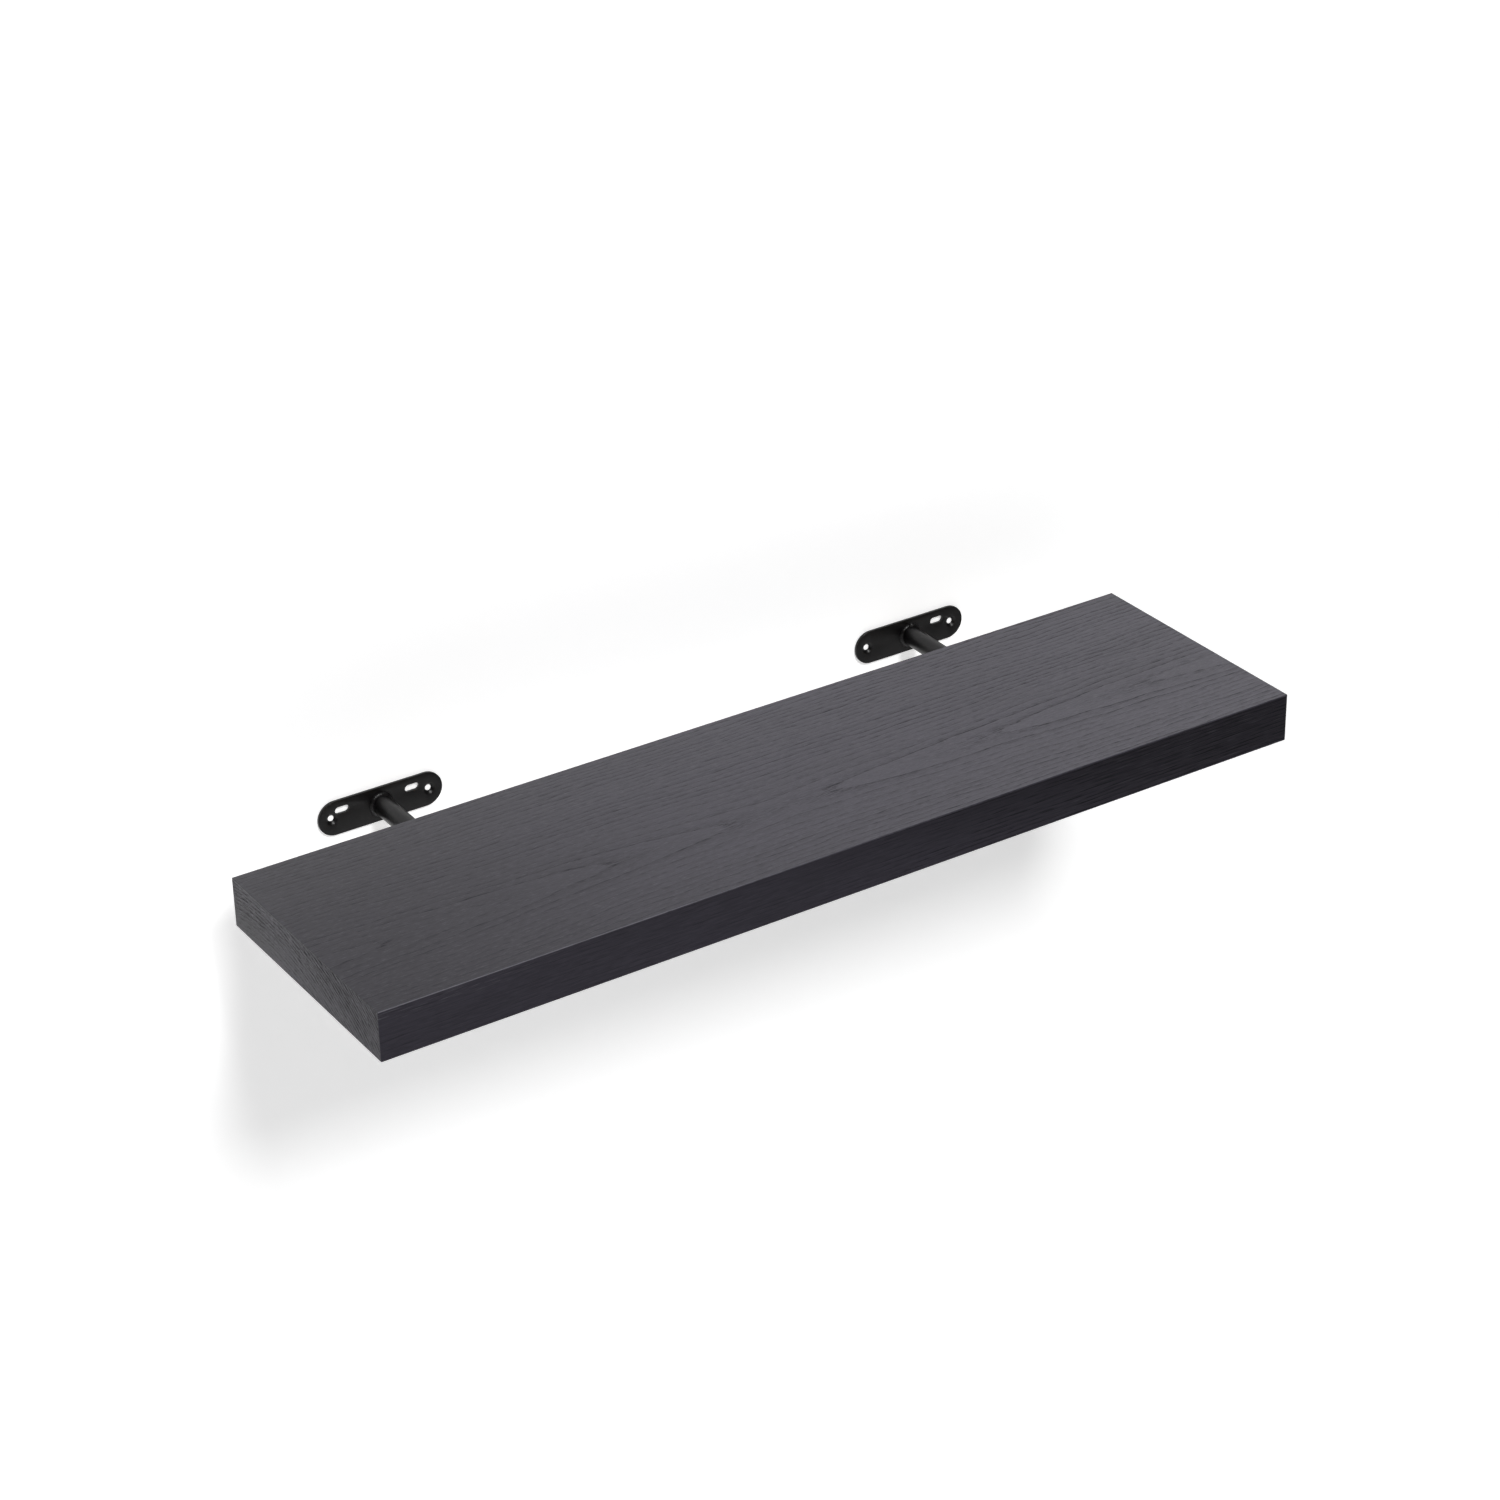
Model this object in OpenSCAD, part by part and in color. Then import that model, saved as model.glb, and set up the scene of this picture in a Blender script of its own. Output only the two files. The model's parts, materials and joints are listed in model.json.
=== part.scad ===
// Floating wall shelf: a veneered board that slides onto two steel rod brackets.
// X runs along the wall, +Y points into the wall and +Z up. The origin lies on the
// wall, midway between the two brackets, at the height of the rod axes.

/* [Shelf board] */
// Length of the shelf along the wall
shelf_length = 800; // [700:10:1200]
// Depth of the shelf from its rear face to its front face
shelf_depth = 220; // [180:5:300]
// Thickness of the shelf over both face veneers
shelf_thickness = 40; // [36:1:60]
// Thickness of the face veneers and of the edge bands
veneer_thickness = 1; // [0.6:0.1:2]
// Distance from the wall to the rear face of the shelf, part way onto its rods
standoff = 68.5; // [0:0.5:130]

/* [Wall brackets] */
// Distance between the two support rods
rod_spacing = 488; // [300:4:540]
// Diameter of a support rod
rod_diameter = 16; // [12:1:18]
// Length of a support rod in front of its plate
rod_length = 150; // [100:5:160]
// Length of a wall plate, round ends included
plate_length = 105.5; // [96:0.5:120]
// Height of a wall plate
plate_height = 28.5; // [25:0.5:32]
// Thickness of a wall plate
plate_thickness = 2.5; // [2:0.5:4]
// Leg length of the weld bead around the root of a rod
weld_leg = 2.3; // [1.5:0.1:2.5]

/* [Screw holes] */
// Distance between the two countersunk holes of a plate
screw_pitch = 83; // [80:1:84]
// Diameter of a countersunk hole where it leaves the plate
screw_hole = 4.8; // [4.4:0.2:6]
// Diameter of the countersink at the front of the plate
countersink = 9.6; // [9:0.2:10.4]
// Length of an adjusting slot, round ends included
slot_length = 12; // [10:0.5:13.5]
// Width of an adjusting slot
slot_width = 5.8; // [4.6:0.2:7]
// Height of the adjusting slots above the rod axis
slot_rise = 5.6; // [5.6:0.1:6.6]
// Place of the outer slot of the left plate, from the rod axis
left_slot = -32.5; // [-33:0.5:-28]
// Place of the right slot of both plates, from the rod axis
right_slot = 27; // [24:0.5:30]

/* [Fits] */
// Radial clearance of a rod in its bore
bore_clearance = 0.05; // [0.02:0.01:0.1]
// Clearance around a plate in its pocket
pocket_clearance = 0.75; // [0.5:0.05:1.5]
// Depth of a pocket beyond the thickness of the plate
pocket_spare = 0.5; // [0.3:0.1:1]
// Length of bore beyond the tip of a rod that is all the way in
bore_spare = 5; // [2:1:8]

/* [Hidden] */
$fn = 64;
through = 1;
rod_radius = rod_diameter / 2;
spigot_radius = rod_radius * 0.625;
tip_chamfer = 1.5;
countersink_depth = min((countersink - screw_hole) / 2, plate_thickness * 0.9);

core_length = shelf_length - 2 * veneer_thickness;
core_depth = shelf_depth - 2 * veneer_thickness;
core_thickness = shelf_thickness - 2 * veneer_thickness;
rear_y = -standoff;
front_y = rear_y - shelf_depth;

pocket_depth = plate_thickness + pocket_spare;
weld_recess_radius = rod_radius + weld_leg + pocket_clearance;
weld_recess_depth = pocket_depth + weld_leg + pocket_spare;
bore_depth = plate_thickness + rod_length + bore_spare;

side_x = [-rod_spacing / 2, rod_spacing / 2];

BLACK_STAIN = [0.25, 0.245, 0.265];
DARK_STAIN = [0.18, 0.177, 0.195];
BOARD = [0.55, 0.42, 0.29];
BLACK_STEEL = [0.13, 0.125, 0.13];

// A cylinder whose axis points out of the wall, from y = start towards -Y
module wall_cylinder(start, length, r1, r2) {
    translate([0, start, 0])
        rotate([90, 0, 0])
            cylinder(h = length, r1 = r1, r2 = r2);
}

// A bar with round ends along X, from y = start towards -Y
module wall_obround(start, depth, length, height) {
    arm = (length - height) / 2;
    translate([-arm, start - depth, -height / 2])
        cube([2 * arm, depth, height]);
    for (x = [-arm, arm])
        translate([x, 0, 0])
            wall_cylinder(start, depth, height / 2, height / 2);
}

// The recess for a wall plate, cut from the rear face of the shelf
module plate_pocket() {
    wall_obround(rear_y + through, pocket_depth + through,
                 plate_length + 2 * pocket_clearance,
                 plate_height + 2 * pocket_clearance);
}

// The bore for a rod, with a wider mouth that clears the weld bead
module rod_socket() {
    bore_radius = rod_radius + bore_clearance;
    wall_cylinder(rear_y + through, bore_depth + through, bore_radius, bore_radius);
    wall_cylinder(rear_y + through, weld_recess_depth + through,
                  weld_recess_radius, weld_recess_radius);
}

module core_board() {
    color(BOARD)
        difference() {
            translate([-core_length / 2, front_y + veneer_thickness, -core_thickness / 2])
                cube([core_length, core_depth, core_thickness]);
            for (x = side_x)
                translate([x, 0, 0]) {
                    plate_pocket();
                    rod_socket();
                }
        }
}

// A face veneer; bottom is the height of its lower side
module face_veneer(bottom) {
    color(BLACK_STAIN)
        translate([-shelf_length / 2, front_y, bottom])
            cube([shelf_length, shelf_depth, veneer_thickness]);
}

module top_veneer() {
    face_veneer(core_thickness / 2);
}

module bottom_veneer() {
    face_veneer(-shelf_thickness / 2);
}

// An edge band along the shelf; front is the y of its front side
module long_edge_band(front) {
    translate([-shelf_length / 2, front, -core_thickness / 2])
        cube([shelf_length, veneer_thickness, core_thickness]);
}

module front_edge_band() {
    color(DARK_STAIN)
        long_edge_band(front_y);
}

module rear_edge_band() {
    color(DARK_STAIN)
        difference() {
            long_edge_band(rear_y - veneer_thickness);
            for (x = side_x)
                translate([x, 0, 0])
                    plate_pocket();
        }
}

// An edge band across an end of the shelf; left is the x of its left side
module end_edge_band(left) {
    color(BLACK_STAIN)
        translate([left, front_y + veneer_thickness, -core_thickness / 2])
            cube([veneer_thickness, core_depth, core_thickness]);
}

module left_edge_band() {
    end_edge_band(-shelf_length / 2);
}

module right_edge_band() {
    end_edge_band(core_length / 2);
}

// A countersunk screw hole through a plate
module screw_hole_cut() {
    wall_cylinder(through, plate_thickness + 2 * through, screw_hole / 2, screw_hole / 2);
    wall_cylinder(-plate_thickness + countersink_depth, countersink_depth,
                  screw_hole / 2, countersink / 2);
}

// A wall plate with two countersunk holes and a slot at each given place
module wall_plate(slots) {
    color(BLACK_STEEL)
        difference() {
            wall_obround(0, plate_thickness, plate_length, plate_height);
            wall_cylinder(through, plate_thickness + 2 * through,
                          spigot_radius, spigot_radius);
            for (x = [-screw_pitch / 2, screw_pitch / 2])
                translate([x, 0, 0])
                    screw_hole_cut();
            for (x = slots)
                translate([x, 0, slot_rise])
                    wall_obround(through, plate_thickness + 2 * through,
                                 slot_length, slot_width);
        }
}

// A support rod: a spigot through the plate, the shank, and a chamfered tip
module support_rod() {
    shank = rod_length - tip_chamfer;
    color(BLACK_STEEL)
        union() {
            wall_cylinder(0, plate_thickness, spigot_radius, spigot_radius);
            wall_cylinder(-plate_thickness, shank, rod_radius, rod_radius);
            wall_cylinder(-plate_thickness - shank, tip_chamfer,
                          rod_radius, rod_radius - tip_chamfer);
        }
}

// The weld bead that joins a rod to the front of its plate
module weld_bead() {
    color(BLACK_STEEL)
        translate([0, -plate_thickness, 0])
            rotate([90, 0, 0])
                rotate_extrude()
                    polygon([[rod_radius, 0],
                             [rod_radius + weld_leg, 0],
                             [rod_radius, weld_leg]]);
}

module left_plate() {
    translate([side_x[0], 0, 0])
        wall_plate([left_slot, right_slot]);
}

module right_plate() {
    translate([side_x[1], 0, 0])
        wall_plate([right_slot]);
}

module left_rod() {
    translate([side_x[0], 0, 0])
        support_rod();
}

module right_rod() {
    translate([side_x[1], 0, 0])
        support_rod();
}

module left_weld() {
    translate([side_x[0], 0, 0])
        weld_bead();
}

module right_weld() {
    translate([side_x[1], 0, 0])
        weld_bead();
}

core_board();
top_veneer();
bottom_veneer();
front_edge_band();
rear_edge_band();
left_edge_band();
right_edge_band();
left_plate();
left_rod();
left_weld();
right_plate();
right_rod();
right_weld();
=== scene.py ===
"""Looks for the wall shelf with brackets: a black stained board and two powder-coated rod brackets."""

import json
import math

import bmesh
import bpy
from mathutils import Matrix, Vector


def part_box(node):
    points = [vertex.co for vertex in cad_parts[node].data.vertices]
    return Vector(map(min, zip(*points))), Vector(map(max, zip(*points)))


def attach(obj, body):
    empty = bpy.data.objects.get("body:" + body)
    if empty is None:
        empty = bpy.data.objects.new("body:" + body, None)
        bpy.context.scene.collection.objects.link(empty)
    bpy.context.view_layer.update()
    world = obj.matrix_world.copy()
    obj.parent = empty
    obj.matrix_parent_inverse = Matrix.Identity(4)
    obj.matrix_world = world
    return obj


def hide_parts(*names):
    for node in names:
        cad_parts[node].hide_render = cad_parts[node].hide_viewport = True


MM = 0.001

# ---------------------------------------------------------------- the frame

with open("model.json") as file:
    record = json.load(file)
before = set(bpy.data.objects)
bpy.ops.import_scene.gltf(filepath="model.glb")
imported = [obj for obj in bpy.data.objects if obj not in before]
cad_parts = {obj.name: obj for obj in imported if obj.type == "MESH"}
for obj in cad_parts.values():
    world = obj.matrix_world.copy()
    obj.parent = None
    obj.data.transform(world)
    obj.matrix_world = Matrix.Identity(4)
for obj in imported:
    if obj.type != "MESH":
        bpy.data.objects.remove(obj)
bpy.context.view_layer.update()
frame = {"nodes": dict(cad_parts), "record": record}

BOARD_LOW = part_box("bottom_veneer")[0]
BOARD_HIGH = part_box("top_veneer")[1]
BOARD_CENTRE = (BOARD_LOW + BOARD_HIGH) / 2
PLATE_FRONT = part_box("left_plate")[0].y
PLATE_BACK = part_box("left_plate")[1].y

# Sizes that the frame's boxes don't give
ARRIS = 0.4 * MM  # round of the sanded top and bottom edges
CORNER = 0.7 * MM  # round of the board's upright corners
POCKET_CLEARANCE = 0.75 * MM
COUNTERSINK_RADIUS = 4.8 * MM
COUNTERSINK_SHARE = 0.9  # the most of the plate's thickness that a countersink takes
SPIGOT_SHARE = 0.625  # the spigot's radius as a share of the rod's
TIP_CHAMFER = 1.5 * MM
PLATE_EDGE = 0.35 * MM
HOLE_EDGE = 0.2 * MM


# ---------------------------------------------------------------- mesh tools


def piece_from(bm, name, body, replaces, smooth_angle=35):
    """Turns a bmesh into a piece that rides on a body and stands for CAD nodes."""
    bmesh.ops.recalc_face_normals(bm, faces=bm.faces)
    mesh = bpy.data.meshes.new(name)
    bm.to_mesh(mesh)
    bm.free()
    mesh.shade_smooth()
    mesh.set_sharp_from_angle(angle=math.radians(smooth_angle))
    piece = bpy.data.objects.new(name, mesh)
    bpy.context.scene.collection.objects.link(piece)
    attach(piece, body)
    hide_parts(*replaces)
    return piece


def add_ring(bm, points):
    """A closed ring of vertices."""
    return [bm.verts.new(point) for point in points]


def bridge(bm, rings):
    """Joins each closed ring of vertices to the next one with quads."""
    for one, other in zip(rings, rings[1:]):
        count = len(one)
        for i in range(count):
            j = (i + 1) % count
            bm.faces.new((one[i], one[j], other[j], other[i]))


def cap(bm, rings):
    """Fills the flat area between an outer ring and any holes in it."""
    edges = []
    for ring in rings:
        for i, vertex in enumerate(ring):
            pair = (vertex, ring[(i + 1) % len(ring)])
            edges.append(bm.edges.get(pair) or bm.edges.new(pair))
    bmesh.ops.triangle_fill(bm, use_beauty=True, edges=edges)


def quarter_round(radius, steps=4):
    """(inset, drop) pairs of a quarter round, from the side face up to the flat face."""
    turns = [math.pi / 2 * k / steps for k in range(steps + 1)]
    return [(radius * (1 - math.cos(a)), radius * (1 - math.sin(a))) for a in turns]


def obround(centre_x, centre_z, arm, radius, y, steps=28):
    """Points around a bar with round ends, or around a circle where arm is 0."""
    count = steps if arm == 0 else steps + 1
    points = []
    for side in (1, -1):
        for k in range(count):
            a = math.pi * (k / steps - 0.5)
            x = centre_x + side * (arm + radius * math.cos(a))
            points.append((x, y, centre_z + side * radius * math.sin(a)))
    return points


def turned(bm, centre_x, profile, segments=96, closed=False):
    """A lathe shape around the rod axis at centre_x.

    profile is a list of functions or (y, radius) pairs; a function takes the angle and
    returns the pair.
    """
    rings = []
    for entry in profile:
        ring = []
        for k in range(segments):
            a = 2 * math.pi * k / segments
            y, radius = entry(a) if callable(entry) else entry
            ring.append((centre_x + radius * math.cos(a), y, radius * math.sin(a)))
        rings.append(add_ring(bm, ring))
    bridge(bm, rings + rings[:1] if closed else rings)
    if not closed:
        cap(bm, rings[:1])
        cap(bm, rings[-1:])


# ---------------------------------------------------------------- the board


def rounded_rectangle(low, high, inset, z, steps=4):
    """Points around the board in XY, with rounded upright corners, at height z."""
    radius = CORNER - inset
    corners = (
        (high.x - CORNER, high.y - CORNER),
        (low.x + CORNER, high.y - CORNER),
        (low.x + CORNER, low.y + CORNER),
        (high.x - CORNER, low.y + CORNER),
    )
    points = []
    for quadrant, (x, y) in enumerate(corners):
        for k in range(steps + 1):
            a = math.pi / 2 * (quadrant + k / steps)
            points.append((x + radius * math.cos(a), y + radius * math.sin(a), z))
    return points


def face_leaf(name, node, up):
    """A face veneer whose outer edges are sanded to a small round; up is 1 or -1."""
    low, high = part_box(node)
    inner, outer = (low.z, high.z) if up > 0 else (high.z, low.z)
    levels = [(0.0, inner)]
    levels += [(inset, outer - up * drop) for inset, drop in quarter_round(ARRIS)]
    bm = bmesh.new()
    rings = [add_ring(bm, rounded_rectangle(low, high, inset, z)) for inset, z in levels]
    bridge(bm, rings)
    cap(bm, rings[:1])
    cap(bm, rings[-1:])
    return piece_from(bm, name, "shelf", [node])


def long_band(name, node, outward, openings=()):
    """The front or rear edge band, its outer upright corners rounded; outward is -1 or 1.

    openings are (centre x, arm, radius) of the pockets' round-ended cut-outs.
    """
    low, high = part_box(node)
    inner, outer = (high.y, low.y) if outward < 0 else (low.y, high.y)
    bm = bmesh.new()

    def rectangle(inset, y):
        left, right = low.x + inset, high.x - inset
        corners = ((right, low.z), (right, high.z), (left, high.z), (left, low.z))
        return add_ring(bm, [(x, y, z) for x, z in corners])

    levels = [(0.0, inner)]
    levels += [(inset, outer - outward * drop) for inset, drop in quarter_round(CORNER)]
    rings = [rectangle(inset, y) for inset, y in levels]
    bridge(bm, rings)
    inner_rings, outer_rings = [rings[0]], [rings[-1]]
    for centre, arm, radius in openings:
        edge = quarter_round(HOLE_EDGE)
        steps = [(0.0, inner)] + [(spread, outer - outward * drop) for spread, drop in edge]
        holes = [add_ring(bm, obround(centre, 0, arm, radius + s, y)) for s, y in steps]
        bridge(bm, holes)
        inner_rings.append(holes[0])
        outer_rings.append(holes[-1])
    cap(bm, inner_rings)
    cap(bm, outer_rings)
    return piece_from(bm, name, "shelf", [node])


def pocket_openings():
    """The cut-outs of the rear edge band, one around each wall plate."""
    openings = []
    for side in ("left", "right"):
        low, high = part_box(side + "_plate")
        radius = (high.z - low.z) / 2 + POCKET_CLEARANCE
        arm = (high.x - low.x) / 2 + POCKET_CLEARANCE - radius
        openings.append(((low.x + high.x) / 2, arm, radius))
    return openings


# ---------------------------------------------------------------- the brackets


def rod_radius(node):
    """The radius of a rod."""
    low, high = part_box(node)
    return (high.x - low.x) / 2


def plate_holes(low, high):
    """(x, z, arm, radius) of the screw holes and slots that lie within a plate."""
    holes = {}
    for mount in frame["record"]["mounts"]:
        if mount["kind"] != "bolt_pattern":
            continue
        x, _, z = mount["pos_m"]
        dims = mount["dims"]
        radius = dims["hole_r_mm"] * MM
        arm = dims.get("slot_length_mm", 2 * dims["hole_r_mm"]) * MM / 2 - radius
        for sign in (-1, 1):
            hole_x = x + sign * dims["spacing_x_mm"] * MM / 2
            if low.x < hole_x < high.x:
                holes[round(hole_x, 5), round(z, 5)] = (hole_x, z, arm, radius)
    return [holes[key] for key in sorted(holes)]


def hole_levels(arm, radius):
    """(radius, y) steps of a hole's wall, from the front of the plate to its back."""
    levels = [(radius + inset, PLATE_FRONT + drop) for inset, drop in quarter_round(HOLE_EDGE)[::-1]]
    if arm == 0:
        most = COUNTERSINK_SHARE * (PLATE_BACK - PLATE_FRONT)
        depth = min(COUNTERSINK_RADIUS - radius, most)
        soft = HOLE_EDGE / 2
        levels = [
            (COUNTERSINK_RADIUS + 3 * soft, PLATE_FRONT),
            (COUNTERSINK_RADIUS + soft, PLATE_FRONT + soft / 2),
            (COUNTERSINK_RADIUS - 2 * soft, PLATE_FRONT + 2 * soft),
            (radius + soft, PLATE_FRONT + depth - soft),
            (radius, PLATE_FRONT + depth + soft / 2),
        ]
    levels.append((radius, PLATE_BACK - HOLE_EDGE / 2))
    levels.append((radius + HOLE_EDGE / 2, PLATE_BACK))
    return levels


def wall_plate(name, node, rod):
    """A wall plate with softened edges, countersunk screw holes and slots."""
    low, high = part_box(node)
    centre_x = (low.x + high.x) / 2
    radius = (high.z - low.z) / 2
    arm = (high.x - low.x) / 2 - radius
    edge = quarter_round(PLATE_EDGE)
    front = [(radius - inset, PLATE_FRONT + drop) for inset, drop in edge[::-1]]
    back = [(radius - inset, PLATE_BACK - drop) for inset, drop in edge]
    bm = bmesh.new()
    rings = [add_ring(bm, obround(centre_x, 0, arm, r, y, 48)) for r, y in front + back]
    bridge(bm, rings)
    front_rings, back_rings = [rings[0]], [rings[-1]]
    openings = [(x, z, slot, hole_levels(slot, r)) for x, z, slot, r in plate_holes(low, high)]
    spigot = rod_radius(rod) * SPIGOT_SHARE
    straight = [(spigot, PLATE_FRONT), (spigot, PLATE_BACK - HOLE_EDGE), (spigot + HOLE_EDGE, PLATE_BACK)]
    openings.append((centre_x, 0.0, 0, straight))
    for x, z, slot, levels in openings:
        holes = [add_ring(bm, obround(x, z, slot, r, y)) for r, y in levels]
        bridge(bm, holes)
        front_rings.append(holes[0])
        back_rings.append(holes[-1])
    cap(bm, front_rings)
    cap(bm, back_rings)
    return piece_from(bm, name, "wall_brackets", [node])


def support_rod(name, node):
    """A rod with its spigot through the plate and a chamfered, softened tip."""
    low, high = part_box(node)
    radius = rod_radius(node)
    spigot = radius * SPIGOT_SHARE
    soft = TIP_CHAMFER / 6
    profile = [
        (high.y, spigot - HOLE_EDGE),
        (high.y - HOLE_EDGE, spigot),
        (PLATE_FRONT, spigot),
        (PLATE_FRONT, radius),
        (low.y + TIP_CHAMFER + soft, radius),
        (low.y + TIP_CHAMFER - soft, radius - soft),
        (low.y + soft, radius - TIP_CHAMFER + soft),
        (low.y, radius - TIP_CHAMFER - soft),
    ]
    bm = bmesh.new()
    turned(bm, (low.x + high.x) / 2, profile)
    return piece_from(bm, name, "wall_brackets", [node])


def weld_bead(name, node, rod, lumps, stop_angle):
    """A weld bead with its ripples; lumps is how uneven it is, in metres.

    stop_angle is where the welder stopped, and the bead is thinner there.
    """
    low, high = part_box(node)
    inner = rod_radius(rod)
    leg = high.y - low.y
    buried = 0.15 * MM
    crown_height = 0.45 * MM
    ripple_height = 0.11 * MM
    ripples = 30
    stop_width = 0.16  # in radians
    steps = 8

    def section(t):
        """The bead's surface at t, from its toe on the plate to its toe on the rod."""

        def at(a):
            slow = math.sin(3 * a + 0.7) + 0.7 * math.sin(5 * a + 2.1) + 0.5 * math.sin(8 * a)
            ripple = abs(math.sin(ripples * a / 2 + 1.3 * t)) - 0.5
            from_stop = (a - stop_angle + math.pi) % (2 * math.pi) - math.pi
            gap = math.exp(-((from_stop / stop_width) ** 2))
            crown = math.sin(math.pi * t)
            lift = crown * (crown_height + ripple_height * ripple + 0.5 * lumps * slow)
            lift -= crown * gap * 2.2 * lumps
            toe = 0.25 * lumps * slow * (1 - crown)
            y = high.y - leg * t - lift * math.sqrt(0.5)
            radius = inner + leg * (1 - t) + lift * math.sqrt(0.5) + toe * (1 - t)
            return y, radius

        return at

    profile = [section(k / steps) for k in range(steps + 1)]
    profile.append((low.y, inner - buried))
    profile.append((high.y + buried, inner - buried))
    profile.append((high.y + buried, inner + leg))
    bm = bmesh.new()
    turned(bm, (low.x + high.x) / 2, profile, segments=360, closed=True)
    return piece_from(bm, name, "wall_brackets", [node], 60)


# ---------------------------------------------------------------- material tools


class Shader:
    """A material's node tree, built with short calls. A value is a socket or a number."""

    def __init__(self, name):
        self.material = bpy.data.materials.new(name)
        self.material.use_nodes = True
        self.tree = self.material.node_tree
        self.surface = self.tree.nodes["Principled BSDF"]

    def put(self, socket, value):
        """Links value to a socket if it is a socket too, or else sets it."""
        if isinstance(value, bpy.types.NodeSocket):
            self.tree.links.new(value, socket)
        else:
            socket.default_value = value

    def set(self, name, value):
        """Sets or links one input of the surface shader."""
        self.put(self.surface.inputs[name], value)

    def math(self, operation, *values, clamp=False):
        node = self.tree.nodes.new("ShaderNodeMath")
        node.operation = operation
        node.use_clamp = clamp
        for socket, value in zip(node.inputs, values):
            self.put(socket, value)
        return node.outputs[0]

    def place(self):
        """x, y and z of the point in the row frame, in millimetres."""
        coordinates = self.tree.nodes.new("ShaderNodeTexCoord").outputs["Object"]
        split = self.tree.nodes.new("ShaderNodeSeparateXYZ")
        self.put(split.inputs[0], coordinates)
        return [self.math("MULTIPLY", axis, 1 / MM) for axis in split.outputs]

    def join(self, x, y, z):
        node = self.tree.nodes.new("ShaderNodeCombineXYZ")
        for socket, value in zip(node.inputs, (x, y, z)):
            self.put(socket, value)
        return node.outputs[0]

    def noise(self, lengths, values, detail=2.0, roughness=0.5):
        """Smooth noise from 0 to 1 with the given grain length along each value."""
        scaled = [
            value if length is None else self.math("DIVIDE", value, length)
            for value, length in zip(values, lengths)
        ]
        node = self.tree.nodes.new("ShaderNodeTexNoise")
        node.inputs["Scale"].default_value = 1.0
        node.inputs["Detail"].default_value = detail
        node.inputs["Roughness"].default_value = roughness
        self.put(node.inputs["Vector"], self.join(*scaled))
        return node.outputs["Fac"]

    def step(self, value, low, high):
        """0 below low, 1 above high, and smooth between."""
        node = self.tree.nodes.new("ShaderNodeMapRange")
        node.interpolation_type = "SMOOTHSTEP"
        for socket, number in zip(node.inputs, (value, low, high, 0.0, 1.0)):
            self.put(socket, number)
        return node.outputs["Result"]

    def fall(self, value, low, high):
        """1 below low, 0 above high, and smooth between."""
        return self.math("SUBTRACT", 1, self.step(value, low, high))

    def ramp(self, value, stops):
        """A grey value that runs through (position, value) stops."""
        node = self.tree.nodes.new("ShaderNodeValToRGB")
        elements = node.color_ramp.elements
        while len(elements) < len(stops):
            elements.new(0.5)
        for element, (position, grey) in zip(elements, stops):
            element.position = position
            element.color = (grey, grey, grey, 1.0)
        self.put(node.inputs["Fac"], value)
        return node.outputs["Color"]

    def mix(self, factor, one, other):
        """A colour between two colours."""
        node = self.tree.nodes.new("ShaderNodeMix")
        node.data_type = "RGBA"
        self.put(node.inputs["Factor"], factor)
        for name, value in (("A", one), ("B", other)):
            socket = next(s for s in node.inputs if s.name == name and s.type == "RGBA")
            self.put(socket, value)
        return next(s for s in node.outputs if s.type == "RGBA")

    def bump(self, height, depth):
        """Relief: height from 0 to 1 stands for depth, in metres."""
        node = self.tree.nodes.new("ShaderNodeBump")
        node.inputs["Strength"].default_value = 1.0
        node.inputs["Distance"].default_value = depth
        self.put(node.inputs["Height"], height)
        self.set("Normal", node.outputs["Normal"])


# ---------------------------------------------------------------- stained wood

STAIN_LIGHT = (0.0400, 0.0354, 0.0530)
STAIN_CLOUD = (0.0260, 0.0226, 0.0356)
STAIN_DARK = (0.0040, 0.0030, 0.0060)
STAIN_PALE_AND_HIGHLIGHT = (0.0950, 0.0905, 0.1090)
STAIN_BLACK_AND_SHADE = (0.0036, 0.0018, 0.0078, 1.0)


def shaded(colour, shade):
    """A colour times a brightness, as the four numbers that a socket takes."""
    return tuple(channel * shade for channel in colour) + (1.0,)


def crown_rings(shader, along, across, centre, heart, left, right, depth, width):
    """Growth rings cut through a log that is thickest at centre: two rows of arches.

    heart is the line that the arches' tips lie on. left and right are how far apart the
    tips are on each side of the centre, depth is how far the pith lies below, and width
    is the width of a ring.
    """
    s = shader.math("SUBTRACT", along, centre)
    before = shader.math("DIVIDE", shader.math("MAXIMUM", shader.math("MULTIPLY", s, -1), 0), left)
    after = shader.math("DIVIDE", shader.math("MAXIMUM", s, 0), right)
    count = shader.math("ADD", before, after)
    count = shader.math("SQRT", shader.math("MULTIPLY_ADD", count, count, 0.01))
    below = shader.math("MULTIPLY_ADD", count, -width, depth)
    aside = shader.math("SUBTRACT", across, heart)
    squares = shader.math("MULTIPLY_ADD", below, below, shader.math("MULTIPLY", aside, aside))
    return shader.math("DIVIDE", shader.math("SQRT", squares), width)


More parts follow.
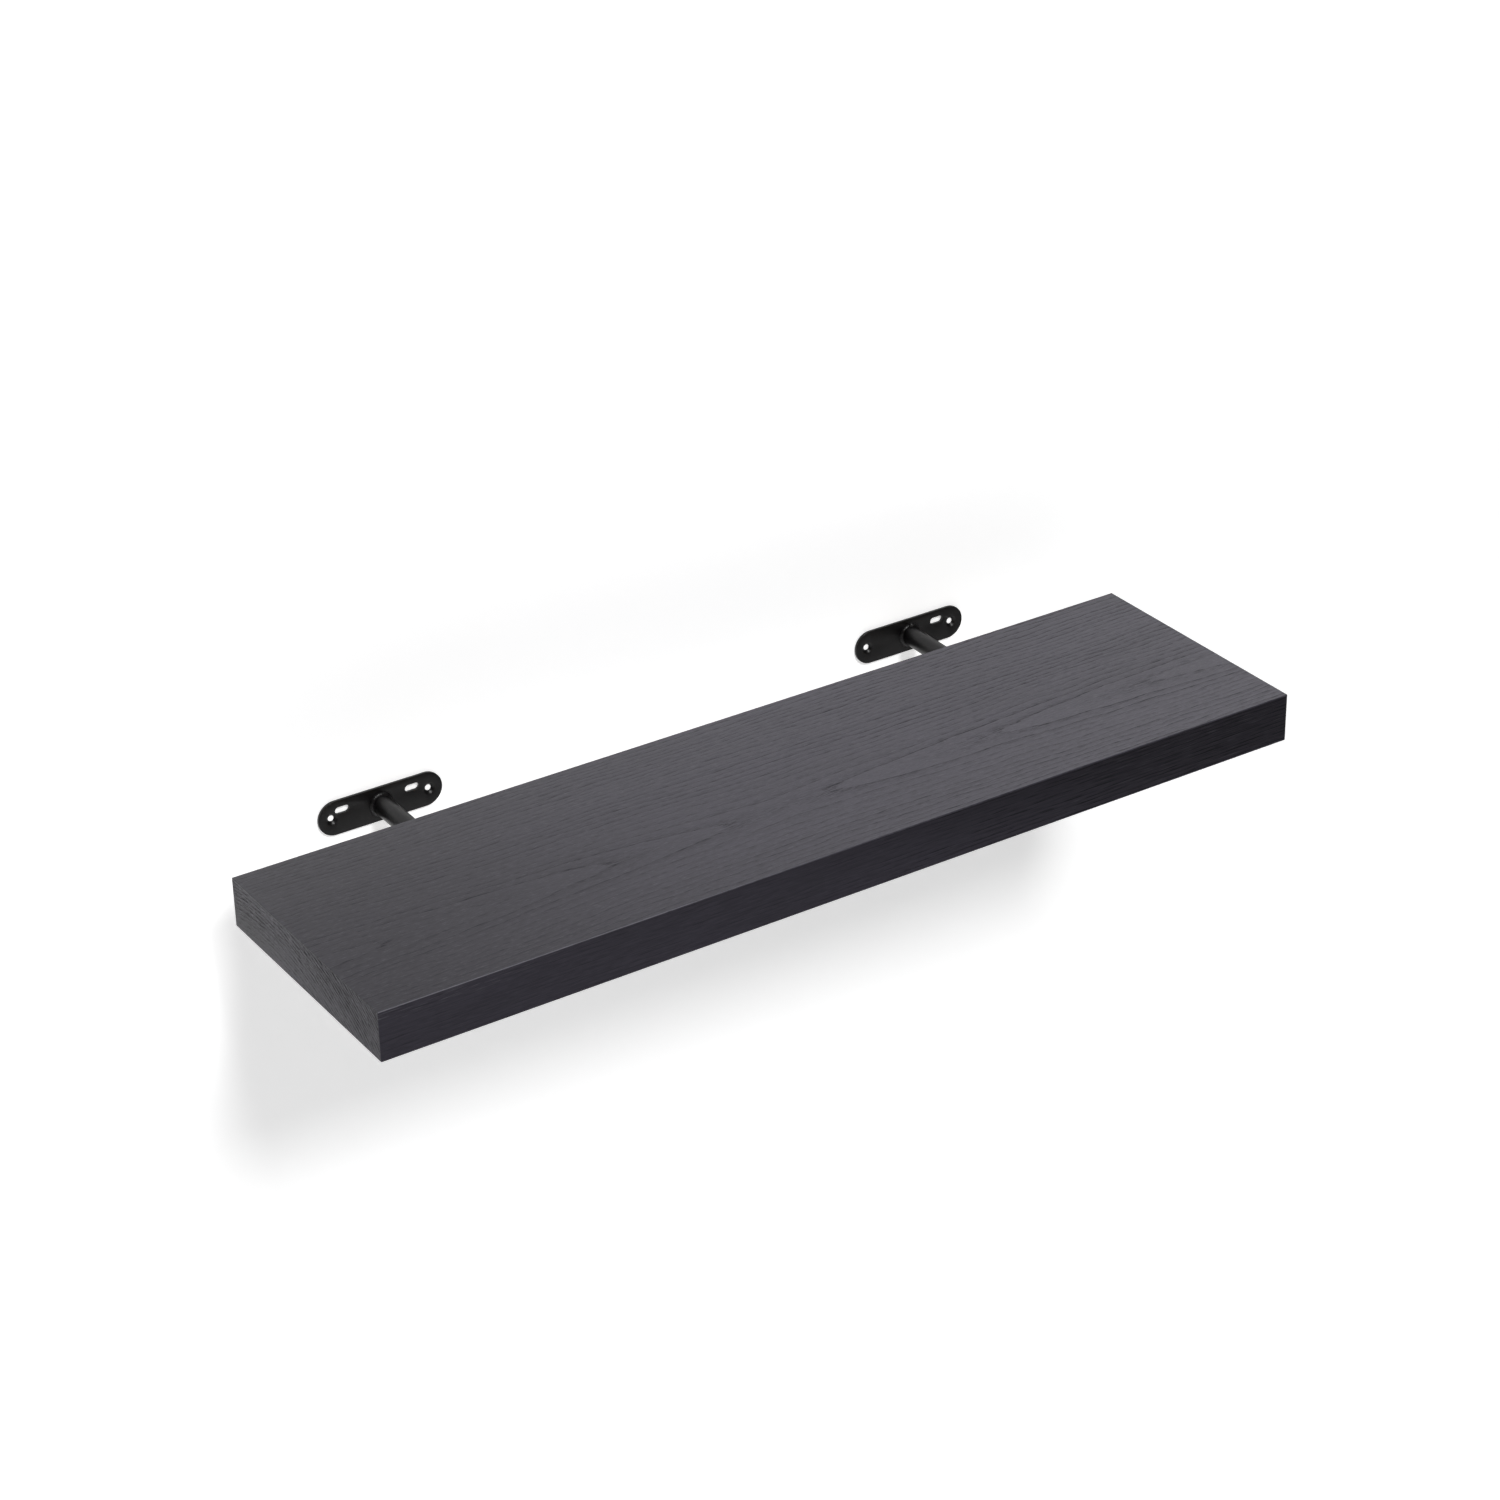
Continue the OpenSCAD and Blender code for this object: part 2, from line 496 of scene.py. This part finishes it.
def stained_wood(shader, rings, along, across, seed, look):
    """Black stained open-pore wood: rows of dark pores where each growth ring begins.

    look holds shade, the brightness of the stain; tone_and_painted_shade, how much darker it
    turns toward black, as darker stain and as painted shade; gloss; pores, how strongly they
    show; solid, how unbroken their rows are; length, that of a pore in millimetres; streaks,
    the share of pale, thinly stained fibres; and lighter, the strength of a painted highlight,
    a pale line of stain along an edge.
    """
    length = look["length"]
    ragged = shader.noise((1.3 * length, 1.1, None), (along, across, seed), 3)
    rings = shader.math("MULTIPLY_ADD", ragged, 0.16, rings)
    year = shader.math("FLOOR", rings)
    phase = shader.math("FRACT", rings)
    strength = shader.noise((None, None, None), (shader.math("MULTIPLY", year, 3.7), seed, 0.5), 0)
    strength = shader.math("MULTIPLY_ADD", shader.step(strength, 0.3, 0.65), 0.65, 0.35)
    line = shader.ramp(phase, [(0.0, 0.2), (0.025, 1.0), (0.07, 0.9), (0.15, 0.25), (1.0, 0.0)])
    tail = shader.ramp(phase, [(0.0, 0.1), (0.06, 1.0), (0.3, 0.6), (0.6, 0.12), (1.0, 0.05)])

    rows = shader.noise((length, 0.95, None), (along, across, seed), 3, 0.6)
    rows = shader.step(rows, 0.43, 0.66)
    fine = shader.noise((0.6 * length, 0.4, None), (along, across, seed + 11.3), 2)
    fine = shader.step(fine, 0.42, 0.66)
    broken = shader.math("MULTIPLY_ADD", shader.math("SUBTRACT", 1, look["solid"]), rows, look["solid"])
    vessels = shader.math("MULTIPLY_ADD", rows, 0.75, shader.math("MULTIPLY", fine, 0.4))
    dark = shader.math("MULTIPLY", shader.math("MULTIPLY", line, broken), strength)
    dark = shader.math("MULTIPLY_ADD", shader.math("MULTIPLY", tail, vessels), 0.42, dark)
    stray = shader.math("MULTIPLY", shader.math("MULTIPLY", rows, fine), 0.2)
    dark = shader.math("ADD", dark, stray)
    dark = shader.math("MULTIPLY", dark, look["pores"], clamp=True)

    cloud = shader.noise((170, 38, None), (along, across, seed + 4.2), 3)
    fibre = shader.noise((0.45 * length, 0.8, None), (along, across, seed + 4.2), 4, 0.7)
    tone = shader.math("MULTIPLY_ADD", cloud, 0.35, shader.math("MULTIPLY", fibre, 0.95))
    tone = shader.step(tone, 0.52, 0.78)
    stain = shader.mix(tone, shaded(STAIN_CLOUD, look["shade"]), shaded(STAIN_LIGHT, look["shade"]))
    # Darker stain and painted shade: the stain is mixed toward black.
    stain = shader.mix(look["tone_and_painted_shade"], stain, STAIN_BLACK_AND_SHADE)
    pale = shader.noise((0.8 * length, 0.7, None), (along, across, seed + 21.7), 3, 0.6)
    pale = shader.math("MULTIPLY", shader.step(pale, 0.52, 0.74), look["streaks"])
    stain = shader.mix(pale, stain, shaded(STAIN_PALE_AND_HIGHLIGHT, look["shade"]))
    # Painted highlight: a pale line of stain along an edge, where the look asks for it.
    stain = shader.mix(look["lighter"], stain, shaded(STAIN_PALE_AND_HIGHLIGHT, 1.5))
    shader.set("Base Color", shader.mix(dark, stain, shaded(STAIN_DARK, look["shade"])))
    shader.set("Roughness", shader.math("MULTIPLY_ADD", dark, 0.4, 0.44))
    shader.set("Specular IOR Level", look["gloss"])
    relief = shader.math("MULTIPLY_ADD", dark, -0.85, shader.math("MULTIPLY", fibre, 0.35))
    shader.bump(relief, 0.06 * MM)
    return shader.material


def face_wood(name, centre, heart, left, right, seed, mirrored=False):
    """A face veneer: one crown-cut leaf; painted shade darkens it to the left, and a painted highlight
    lines its front edge there.
    """
    shader = Shader(name)
    x, y, z = shader.place()
    if mirrored:
        x = shader.math("MULTIPLY", x, -1)
    wander = shader.noise((210, 60, None), (x, y, seed), 2)
    wander = shader.math("MULTIPLY", shader.math("SUBTRACT", wander, 0.5), 16)
    waver = shader.noise((46, 13, None), (x, y, seed + 3.1), 2)
    waver = shader.math("MULTIPLY_ADD", shader.math("SUBTRACT", waver, 0.5), 6, wander)
    across = shader.math("ADD", y, waver)
    drift = shader.noise((90, 24, None), (x, y, seed + 8.6), 2)
    along = shader.math("MULTIPLY_ADD", shader.math("SUBTRACT", drift, 0.5), 20, x)
    rings = crown_rings(shader, along, across, centre, heart, left, right, depth=36.8, width=5)
    aside = shader.math("ABSOLUTE", shader.math("SUBTRACT", across, heart))
    front, height = BOARD_LOW.y / MM, BOARD_HIGH.z / MM
    edge = shader.math("MULTIPLY", shader.fall(y, front + 0.1, front + 0.7), shader.fall(x, -180, 60))
    arris = shader.step(shader.math("ABSOLUTE", z), height - 0.7, height - 0.35)
    look = {
        "shade": 1.0,
        # Painted shade: the leaf darkens toward its left end (its right end on the mirrored leaf).
        "tone_and_painted_shade": shader.math("MULTIPLY", shader.fall(x, -420, 40), 0.8),
        "gloss": 0.46,
        "pores": shader.math("MULTIPLY_ADD", shader.step(x, -250, 400), 0.32, 0.55),
        "solid": shader.math("MULTIPLY", shader.step(aside, 2, 14), 0.5),
        "length": 9,
        "streaks": 0.45,
        # Painted highlight: a pale line of stain on the front arris at the left.
        "lighter": shader.math("MULTIPLY", edge, arris),
    }
    return stained_wood(shader, rings, x, y, seed, look)


def band_wood(name, seed):
    """A long edge band: straight grain, painted shade darkening it to the right, and pale scuffs at top
    left.
    """
    shader = Shader(name)
    x, _, z = shader.place()
    waver = shader.noise((240, 22, None), (x, z, seed), 2)
    across = shader.math("MULTIPLY_ADD", shader.math("SUBTRACT", waver, 0.5), 9, z)
    rings = crown_rings(shader, x, across, 0, -95, 900, 1100, depth=34, width=3.1)
    scuffs = shader.math("MULTIPLY", shader.step(z, 6, 15), shader.fall(x, -370, -230))
    slanted = shader.math("MULTIPLY_ADD", z, 7, x)
    base = shader.math("MULTIPLY_ADD", shader.step(x, 80, 300), 0.45, 0.1)
    look = {
        "shade": 0.8,
        # Painted shade: the band darkens to the right, over a slightly darker stain everywhere.
        "tone_and_painted_shade": shader.math("MULTIPLY_ADD", shader.step(slanted, -90, 390), 0.85, 0.1),
        "gloss": 0.3,
        "pores": shader.math("MULTIPLY_ADD", shader.step(x, -80, 330), 1.5, 0.45),
        "solid": 0.3,
        "length": 26,
        "streaks": shader.math("MULTIPLY_ADD", scuffs, 1.6, base),
        "lighter": 0.0,
    }
    return stained_wood(shader, rings, x, z, seed, look)


def end_wood(name, centre, seed):
    """An end band: the rings as wide arcs, coarser to the front, with painted shade darkening it low at
    the rear.
    """
    shader = Shader(name)
    _, y, z = shader.place()
    depth = 230  # of the arcs' centre below the band
    waver = shader.noise((45, 12, None), (y, z, seed), 2)
    lift = shader.math("MULTIPLY_ADD", shader.math("SUBTRACT", waver, 0.5), 5, z)
    aside = shader.math("SUBTRACT", y, centre)
    above = shader.math("ADD", lift, depth)
    squares = shader.math("MULTIPLY_ADD", above, above, shader.math("MULTIPLY", aside, aside))
    across = shader.math("SQRT", squares)
    along = shader.math("MULTIPLY", shader.math("ARCTAN2", aside, above), depth)
    rings = shader.math("DIVIDE", across, 3.4)
    near = shader.fall(y, -250, -120)
    # Painted shade: the band darkens low at the rear, near the wall, through the mix toward black below.
    rear_low_shade = shader.math("MULTIPLY", shader.step(y, -155, -75), shader.fall(z, -8, 20))
    look = {
        "shade": 0.78,
        "tone_and_painted_shade": shader.math("MULTIPLY_ADD", rear_low_shade, 0.8, 0.1),
        "gloss": 0.28,
        "pores": shader.math("MULTIPLY_ADD", shader.step(z, -12, 12), 1.3, shader.math("ADD", near, 0.5)),
        "solid": 0.3,
        "length": 5.5,
        "streaks": shader.math("MULTIPLY_ADD", shader.step(z, -10, 14), 1.8, 0.7),
        "lighter": 0.0,
    }
    return stained_wood(shader, rings, along, across, seed, look)


# ---------------------------------------------------------------- other materials


def powder_coat(name):
    """Satin black powder coat: fine orange peel, slightly uneven gloss."""
    shader = Shader(name)
    place = shader.place()
    peel = shader.noise((0.9, 0.9, 0.9), place, 2, 0.6)
    sand = shader.noise((0.22, 0.22, 0.22), place, 1)
    patch = shader.noise((14, 14, 14), place, 3)
    grey = shader.math("MULTIPLY_ADD", sand, 0.5, shader.math("MULTIPLY", patch, 0.5))
    black = (0.0024, 0.0021, 0.0024, 1.0)
    lighter = (0.0070, 0.0064, 0.0069, 1.0)
    shader.set("Base Color", shader.mix(shader.step(grey, 0.35, 0.7), black, lighter))
    shader.set("Roughness", shader.math("MULTIPLY_ADD", patch, 0.2, 0.26))
    shader.set("Specular IOR Level", 0.33)
    relief = shader.math("MULTIPLY_ADD", sand, 0.25, shader.math("MULTIPLY", peel, 0.75))
    shader.bump(relief, 0.05 * MM)
    return shader.material


def raw_board(name):
    """The cut chipboard inside the pockets and bores: pressed chips of mixed tone."""
    shader = Shader(name)
    place = shader.place()
    chips = shader.tree.nodes.new("ShaderNodeTexVoronoi")
    chips.inputs["Scale"].default_value = 1.0
    chips.inputs["Randomness"].default_value = 1.0
    stretched = [shader.math("DIVIDE", axis, size) for axis, size in zip(place, (5, 3.2, 1.3))]
    shader.put(chips.inputs["Vector"], shader.join(*stretched))
    tone = shader.tree.nodes.new("ShaderNodeSeparateColor")
    shader.put(tone.inputs[0], chips.outputs["Color"])
    grain = shader.noise((1.6, 1.1, 0.5), place, 4, 0.7)
    value = shader.math("MULTIPLY_ADD", tone.outputs[0], 0.6, shader.math("MULTIPLY", grain, 0.5))
    dark = (0.16, 0.095, 0.050, 1.0)
    light = (0.50, 0.36, 0.21, 1.0)
    shader.set("Base Color", shader.mix(shader.step(value, 0.15, 0.95), dark, light))
    shader.set("Roughness", shader.math("MULTIPLY_ADD", grain, 0.2, 0.7))
    shader.set("Specular IOR Level", 0.25)
    shader.bump(value, 0.3 * MM)
    return shader.material


def paint(thing, material):
    """Puts one material on a piece or a CAD node."""
    thing.data.materials.clear()
    thing.data.materials.append(material)


# ---------------------------------------------------------------- stage

# The wall's glow is painted light: WALL_LEFT at its left end easing to WALL_RIGHT at its right, WALL_POOL
# a pool above the shelf and WALL_SIDE a small pool past the shelf's left end. FLOOR_POOL is a painted pool
# of light on the floor.
WALL_LEFT = 0.535
WALL_RIGHT = 0.475
WALL_POOL = 1.0
WALL_SIDE = 0.25
FLOOR_POOL = 0.35


def one_sided(shader):
    """Makes a stage material show from its front alone, so that it never hides the object."""
    tree = shader.tree
    shader.set("Roughness", 0.9)
    shader.set("Specular IOR Level", 0.0)
    shader.set("Emission Color", (1.0, 1.0, 1.0, 1.0))
    clear = tree.nodes.new("ShaderNodeBsdfTransparent")
    back = tree.nodes.new("ShaderNodeNewGeometry").outputs["Backfacing"]
    mixer = tree.nodes.new("ShaderNodeMixShader")
    shader.put(mixer.inputs["Fac"], back)
    shader.put(mixer.inputs[1], shader.surface.outputs[0])
    shader.put(mixer.inputs[2], clear.outputs[0])
    shader.put(tree.nodes["Material Output"].inputs["Surface"], mixer.outputs[0])
    return shader.material


def white_wall():
    """The wall, with a pool of light above the shelf and a small one past its left end."""
    shader = Shader("wall_white")
    x, _, z = shader.place()
    past_end = shader.math("SUBTRACT", shader.step(x, -455, -425), shader.step(x, -396, -364))
    side = shader.math("MULTIPLY", past_end, shader.step(z, -230, -90))
    pool = shader.math("MULTIPLY", shader.step(z, 20, 450), shader.step(x, -700, 1000))
    # Painted light: the wall glows a little brighter to the left.
    glow = shader.math("MULTIPLY_ADD", shader.step(x, -500, 500), WALL_RIGHT - WALL_LEFT, WALL_LEFT)
    shader.set("Base Color", (0.86, 0.86, 0.86, 1.0))
    glow = shader.math("MULTIPLY_ADD", side, WALL_SIDE, glow)
    shader.set("Emission Strength", shader.math("MULTIPLY_ADD", pool, WALL_POOL, glow))
    return one_sided(shader)


def pale_floor():
    """The floor, with a pool of light on it to the left."""
    shader = Shader("floor_pale")
    x, _, _ = shader.place()
    shader.set("Base Color", (0.5, 0.5, 0.5, 1.0))
    shader.set("Emission Strength", shader.math("MULTIPLY", shader.fall(x, 200, 2000), FLOOR_POOL))
    return one_sided(shader)


def stage_plane(name, corners, material):
    """A flat stage surface; its front is the side its corners run anticlockwise around."""
    mesh = bpy.data.meshes.new(name)
    mesh.from_pydata(corners, [], [tuple(range(len(corners)))])
    plane = bpy.data.objects.new(name, mesh)
    bpy.context.scene.collection.objects.link(plane)
    plane.data.materials.append(material)


def make_stage():
    """A white wall behind the plates and a pale floor well below the shelf."""
    behind = PLATE_BACK + 0.5 * MM
    reach, top, floor, near = 4.0, 3.0, -1.4, -5.0  # metres
    wall = [(-reach, behind, floor), (reach, behind, floor), (reach, behind, top), (-reach, behind, top)]
    ground = [(-reach, near, floor), (reach, near, floor), (reach, behind, floor), (-reach, behind, floor)]
    stage_plane("stage_wall", wall, white_wall())
    stage_plane("stage_floor", ground, pale_floor())


def soft_sun(elevation, yaw, spread, power):
    """Even soft light from above and in front, in degrees; yaw turns it to the left."""
    data = bpy.data.lights.new("soft_key", "SUN")
    data.energy = power
    data.angle = math.radians(spread)
    lamp = bpy.data.objects.new("soft_key", data)
    bpy.context.scene.collection.objects.link(lamp)
    lamp.location = (0.0, -2.0, 2.0)
    lamp.rotation_euler = (math.radians(90 - elevation), 0.0, math.radians(-yaw))


def make_world():
    """Soft light from all round, brighter above and to the left, and plain white to look at."""
    world = bpy.data.worlds.new("studio")
    bpy.context.scene.world = world
    world.use_nodes = True
    tree = world.node_tree
    light = tree.nodes["Background"]
    direction = tree.nodes.new("ShaderNodeTexCoord").outputs["Generated"]
    split = tree.nodes.new("ShaderNodeSeparateXYZ")
    tree.links.new(direction, split.inputs[0])
    rise = tree.nodes.new("ShaderNodeMapRange")
    rise.interpolation_type = "SMOOTHSTEP"
    tree.links.new(split.outputs["Z"], rise.inputs["Value"])
    for name, value in (("From Min", -0.2), ("From Max", 0.9), ("To Min", 0.03), ("To Max", 0.6)):
        rise.inputs[name].default_value = value
    lean = tree.nodes.new("ShaderNodeMath")
    lean.operation = "MULTIPLY_ADD"
    tree.links.new(split.outputs["X"], lean.inputs[0])
    lean.inputs[1].default_value = -0.35
    lean.inputs[2].default_value = 1.0
    both = tree.nodes.new("ShaderNodeMath")
    both.operation = "MULTIPLY"
    tree.links.new(rise.outputs["Result"], both.inputs[0])
    tree.links.new(lean.outputs[0], both.inputs[1])
    tree.links.new(both.outputs[0], light.inputs["Strength"])
    plain = tree.nodes.new("ShaderNodeBackground")
    plain.inputs["Color"].default_value = (1.0, 1.0, 1.0, 1.0)
    seen = tree.nodes.new("ShaderNodeLightPath").outputs["Is Camera Ray"]
    mixer = tree.nodes.new("ShaderNodeMixShader")
    tree.links.new(seen, mixer.inputs["Fac"])
    tree.links.new(light.outputs[0], mixer.inputs[1])
    tree.links.new(plain.outputs[0], mixer.inputs[2])
    tree.links.new(mixer.outputs[0], tree.nodes["World Output"].inputs["Surface"])


def make_camera():
    """The camera at the photograph's viewing angle."""
    azimuth, elevation, roll = (math.radians(a) for a in (-32.77, 28.48, -1.19))
    distance = 2.824
    aim = BOARD_CENTRE + Vector((-7.5, 28.8, 37.26)) * MM
    data = bpy.data.cameras.new("camera")
    data.lens = 90.47
    data.sensor_width = 36.0
    camera = bpy.data.objects.new("camera", data)
    bpy.context.scene.collection.objects.link(camera)
    back = Vector(
        (
            math.sin(azimuth) * math.cos(elevation),
            -math.cos(azimuth) * math.cos(elevation),
            math.sin(elevation),
        )
    )
    camera.location = aim + back * distance
    level = (-back).to_track_quat("-Z", "Y").to_matrix()
    camera.rotation_euler = (level @ Matrix.Rotation(roll, 3, "Z")).to_euler()
    data.clip_start, data.clip_end = 0.05, 50.0
    bpy.context.scene.camera = camera


# ---------------------------------------------------------------- the object

HEART = BOARD_HIGH.y / MM - 142

top = face_leaf("top_leaf", "top_veneer", 1)
paint(top, face_wood("stain_top", -32, HEART, 95, 150, 2.4))
bottom = face_leaf("bottom_leaf", "bottom_veneer", -1)
paint(bottom, face_wood("stain_bottom", 90, HEART + 45, 130, 110, 31.7, mirrored=True))
front = long_band("front_band", "front_edge_band", -1)
paint(front, band_wood("stain_front", 5.2))
rear = long_band("rear_band", "rear_edge_band", 1, pocket_openings())
paint(rear, band_wood("stain_rear", 47.9))
END_ARC = BOARD_HIGH.y / MM - 50
paint(frame["nodes"]["left_edge_band"], end_wood("stain_left", END_ARC, 13.6))
paint(frame["nodes"]["right_edge_band"], end_wood("stain_right", END_ARC - 90, 64.1))
paint(frame["nodes"]["core_board"], raw_board("raw_core"))

steel = powder_coat("black_powder_coat")
for side, lumps, stop in (("left", 0.2 * MM, 4.0), ("right", 0.35 * MM, 1.5)):
    rod = side + "_rod"
    paint(wall_plate(side + "_wall_plate", side + "_plate", rod), steel)
    paint(support_rod(side + "_support_rod", rod), steel)
    paint(weld_bead(side + "_weld_bead", side + "_weld", rod, lumps, stop), steel)

# ---------------------------------------------------------------- stage, light and camera

make_stage()
make_world()
soft_sun(elevation=44, yaw=0.5, spread=13, power=1.9)
make_camera()
bpy.context.scene.view_settings.view_transform = "Standard"
bpy.context.scene.view_settings.look = "None"
